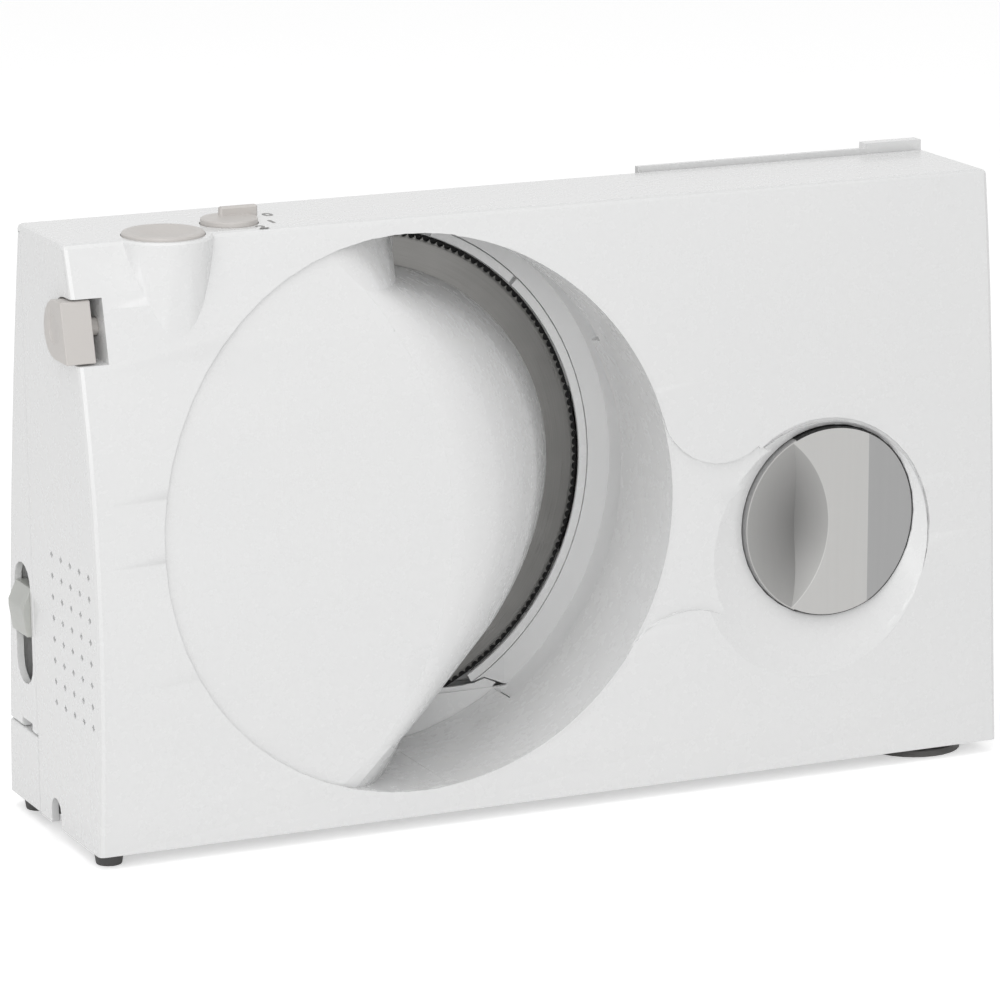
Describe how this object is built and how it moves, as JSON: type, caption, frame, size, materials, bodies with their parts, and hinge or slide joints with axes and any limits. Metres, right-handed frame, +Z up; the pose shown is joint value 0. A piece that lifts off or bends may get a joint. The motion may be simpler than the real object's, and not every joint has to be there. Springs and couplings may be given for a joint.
{
  "type": "folding food slicer",
  "caption": "Electric food slicer folded for storage: round blade behind a swept well, thickness knob, stop plate, top buttons and a fold-down table with a sliding carriage",
  "frame": {"origin": "middle of the footprint, on the plane of the feet", "axes": "+Z up, -Y towards the slice exit side with the knob, +Y towards the food side with the table, +X to the right seen from the slice exit side"},
  "size_m": [0.3372, 0.0902, 0.2071],
  "materials": {
    "white_gloss_plastic": "glossy white moulding",
    "warm_grey_plastic": "satin warm grey moulding",
    "silver_knob": "silver lacquered moulding",
    "blade_steel": "ground stainless steel",
    "bright_steel": "bright turned steel",
    "sintered_bronze": "sintered bronze",
    "gear_nylon": "natural nylon",
    "black_plastic": "black moulding",
    "zinc_steel": "zinc plated steel",
    "dark_grey_rubber": "dark grey rubber"
  },
  "bodies": {
    "housing": {"front_housing": "white_gloss_plastic", "rear_cover": "white_gloss_plastic", "base_frame": "white_gloss_plastic", "rear_bush": "sintered_bronze", "front_bush": "sintered_bronze", "gear_pin": "bright_steel", "motor_can": "zinc_steel", "switch_block": "black_plastic", "on_button_spring": "bright_steel", "housing_screw_1": "zinc_steel", "housing_screw_2": "zinc_steel", "housing_screw_3": "zinc_steel", "housing_screw_4": "zinc_steel", "rubber_foot_front_left": "dark_grey_rubber", "rubber_foot_rear_left": "dark_grey_rubber", "rubber_foot_rear_right": "dark_grey_rubber", "suction_foot": "dark_grey_rubber", "table_hinge_pin_left": "bright_steel", "table_hinge_pin_right": "bright_steel"},
    "blade": {"blade": "blade_steel", "blade_hub": "black_plastic", "blade_shaft": "bright_steel", "blade_gear": "gear_nylon"},
    "blade_lock": {"blade_lock": "black_plastic"},
    "intermediate_gear": {"intermediate_gear": "gear_nylon"},
    "motor_rotor": {"motor_shaft": "bright_steel", "motor_pinion": "bright_steel", "cooling_fan": "black_plastic"},
    "thickness_knob": {"thickness_knob": "silver_knob", "knob_spindle": "gear_nylon"},
    "stop_plate": {"stop_plate": "white_gloss_plastic", "plate_guide_pin_1": "bright_steel", "plate_guide_pin_2": "bright_steel"},
    "on_button": {"on_button": "warm_grey_plastic"},
    "selector": {"selector": "warm_grey_plastic"},
    "safety_button": {"safety_button": "warm_grey_plastic"},
    "fold_lock": {"fold_lock_lever": "warm_grey_plastic"},
    "table": {"table": "white_gloss_plastic", "table_plate": "bright_steel"},
    "carriage": {"carriage": "white_gloss_plastic"}
  },
  "joints": [
    {"name": "blade_spin", "type": "hinge", "parent": "housing", "child": "blade", "pos_m": [-0.04992, 0.01854, 0.1069], "axis": [0, 1, 0], "continuous": true},
    {"name": "blade_lock_turn", "type": "hinge", "parent": "blade", "child": "blade_lock", "pos_m": [-0.04992, 0.01884, 0.1069], "axis": [0, 1, 0], "range_deg": [0, 90]},
    {"name": "intermediate_gear_spin", "type": "hinge", "parent": "housing", "child": "intermediate_gear", "pos_m": [-0.10317, 0.00354, 0.06962], "axis": [0, 1, 0], "continuous": true},
    {"name": "motor_spin", "type": "hinge", "parent": "housing", "child": "motor_rotor", "pos_m": [-0.12438, 0.00354, 0.0484], "axis": [0, 1, 0], "continuous": true},
    {"name": "thickness_knob_turn", "type": "hinge", "parent": "housing", "child": "thickness_knob", "pos_m": [0.10458, -0.03946, 0.088], "axis": [0, 1, 0], "range_deg": [0, 300]},
    {"name": "stop_plate_slide", "type": "slide", "parent": "housing", "child": "stop_plate", "axis": [0, -1, 0], "range_m": [0, 0.015]},
    {"name": "on_button_press", "type": "slide", "parent": "housing", "child": "on_button", "axis": [0, 0, -1], "range_m": [0, 0.0027], "stiffness_N_per_m": 400, "deforming": ["on_button_spring"]},
    {"name": "selector_turn", "type": "hinge", "parent": "housing", "child": "selector", "pos_m": [-0.10322, -0.01006, 0.2025], "axis": [0, 0, -1], "range_deg": [0, 100]},
    {"name": "safety_button_press", "type": "slide", "parent": "housing", "child": "safety_button", "axis": [1, 0, 0], "range_m": [0, 0.0035], "stiffness_N_per_m": 300},
    {"name": "fold_lock_slide", "type": "slide", "parent": "housing", "child": "fold_lock", "axis": [0, 0, -1], "range_m": [0, 0.0095], "stiffness_N_per_m": 200},
    {"name": "table_fold", "type": "hinge", "parent": "housing", "child": "table", "pos_m": [0.00158, 0.03254, 0.017], "axis": [-1, 0, 0], "range_deg": [0, 90]},
    {"name": "carriage_slide", "type": "slide", "parent": "table", "child": "carriage", "axis": [1, 0, 0], "range_m": [-0.028, 0.13]}
  ],
  "couplings": [
    {"joint": "intermediate_gear_spin", "follows": "blade_spin", "ratio": -4},
    {"joint": "motor_spin", "follows": "blade_spin", "ratio": 16},
    {"joint": "stop_plate_slide", "follows": "thickness_knob_turn", "m_per_rad": 0.0028648}
  ]
}
